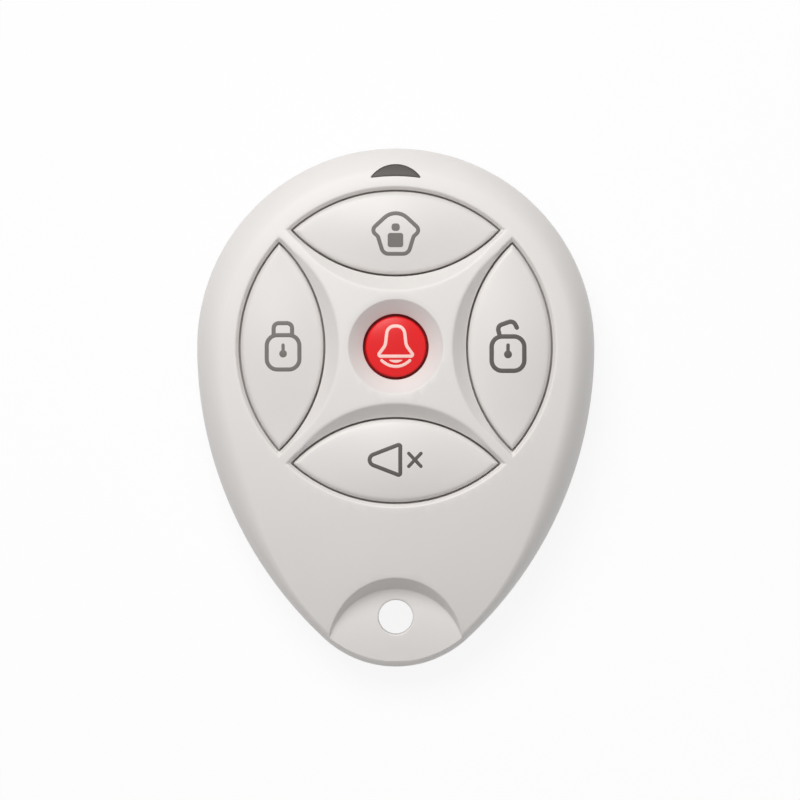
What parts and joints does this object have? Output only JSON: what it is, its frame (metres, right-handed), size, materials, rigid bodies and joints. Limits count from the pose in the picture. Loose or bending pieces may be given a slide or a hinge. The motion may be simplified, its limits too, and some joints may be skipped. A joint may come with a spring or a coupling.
{
  "type": "alarm key fob",
  "caption": "Egg-shaped white alarm key fob with lens keys round a raised star, a round red panic key and a key-ring tab.",
  "frame": {"origin": "middle of the outline, on the flat back", "axes": "+Z out of the front through the keys, +Y from the key-ring tab to the head, +X to the right seen from the front"},
  "size_m": [0.046, 0.06, 0.0133],
  "materials": {
    "housing_abs": "fine moulded texture",
    "key_abs": "fine moulded texture",
    "panic_abs": "satin moulded",
    "smoked_lens": "smoked polycarbonate",
    "board_green": "solder mask",
    "switch_black": "moulded",
    "plunger_white": "moulded",
    "plate_steel": "stamped",
    "led_clear": "clear epoxy on white case",
    "chip_black": "moulded epoxy",
    "crystal_can": "plated can",
    "passives_brown": "fired ceramic",
    "tinned_wire": "tinned copper",
    "cell_steel": "nickel-plated can",
    "clip_steel": "tin-plated strip",
    "contact_brass": "stamped",
    "screw_steel": "zinc plated"
  },
  "bodies": {
    "housing": {"front_cover": "housing_abs", "rear_cover": "housing_abs", "indicator_lens": "smoked_lens", "circuit_board": "board_green", "home_switch": "switch_black", "arm_switch": "switch_black", "mute_switch": "switch_black", "disarm_switch": "switch_black", "panic_switch": "switch_black", "switch_frames": "plate_steel", "status_led": "led_clear", "controller_chip": "chip_black", "radio_chip": "chip_black", "crystal": "crystal_can", "chip_passives": "passives_brown", "antenna": "tinned_wire", "coin_cell": "cell_steel", "battery_clip": "clip_steel", "battery_contact": "contact_brass", "cover_screw": "screw_steel"},
    "home_key": {"home_key": "key_abs"},
    "arm_key": {"arm_key": "key_abs"},
    "mute_key": {"mute_key": "key_abs"},
    "disarm_key": {"disarm_key": "key_abs"},
    "panic_key": {"panic_key": "panic_abs"},
    "home_plunger": {"home_plunger": "plunger_white"},
    "arm_plunger": {"arm_plunger": "plunger_white"},
    "mute_plunger": {"mute_plunger": "plunger_white"},
    "disarm_plunger": {"disarm_plunger": "plunger_white"},
    "panic_plunger": {"panic_plunger": "plunger_white"}
  },
  "joints": [
    {"name": "home_press", "type": "slide", "parent": "housing", "child": "home_key", "axis": [0, 0, -1], "range_m": [0, 0.0005], "stiffness_N_per_m": 1500},
    {"name": "arm_press", "type": "slide", "parent": "housing", "child": "arm_key", "axis": [0, 0, -1], "range_m": [0, 0.0005], "stiffness_N_per_m": 1500},
    {"name": "mute_press", "type": "slide", "parent": "housing", "child": "mute_key", "axis": [0, 0, -1], "range_m": [0, 0.0005], "stiffness_N_per_m": 1500},
    {"name": "disarm_press", "type": "slide", "parent": "housing", "child": "disarm_key", "axis": [0, 0, -1], "range_m": [0, 0.0005], "stiffness_N_per_m": 1500},
    {"name": "panic_press", "type": "slide", "parent": "housing", "child": "panic_key", "axis": [0, 0, -1], "range_m": [0, 0.0005], "stiffness_N_per_m": 1500},
    {"name": "home_plunge", "type": "slide", "parent": "housing", "child": "home_plunger", "axis": [0, 0, -1], "range_m": [0, 0.0005]},
    {"name": "arm_plunge", "type": "slide", "parent": "housing", "child": "arm_plunger", "axis": [0, 0, -1], "range_m": [0, 0.0005]},
    {"name": "mute_plunge", "type": "slide", "parent": "housing", "child": "mute_plunger", "axis": [0, 0, -1], "range_m": [0, 0.0005]},
    {"name": "disarm_plunge", "type": "slide", "parent": "housing", "child": "disarm_plunger", "axis": [0, 0, -1], "range_m": [0, 0.0005]},
    {"name": "panic_plunge", "type": "slide", "parent": "housing", "child": "panic_plunger", "axis": [0, 0, -1], "range_m": [0, 0.0005]}
  ],
  "couplings": [
    {"joint": "home_plunge", "follows": "home_press", "ratio": 1},
    {"joint": "arm_plunge", "follows": "arm_press", "ratio": 1},
    {"joint": "mute_plunge", "follows": "mute_press", "ratio": 1},
    {"joint": "disarm_plunge", "follows": "disarm_press", "ratio": 1},
    {"joint": "panic_plunge", "follows": "panic_press", "ratio": 1}
  ]
}
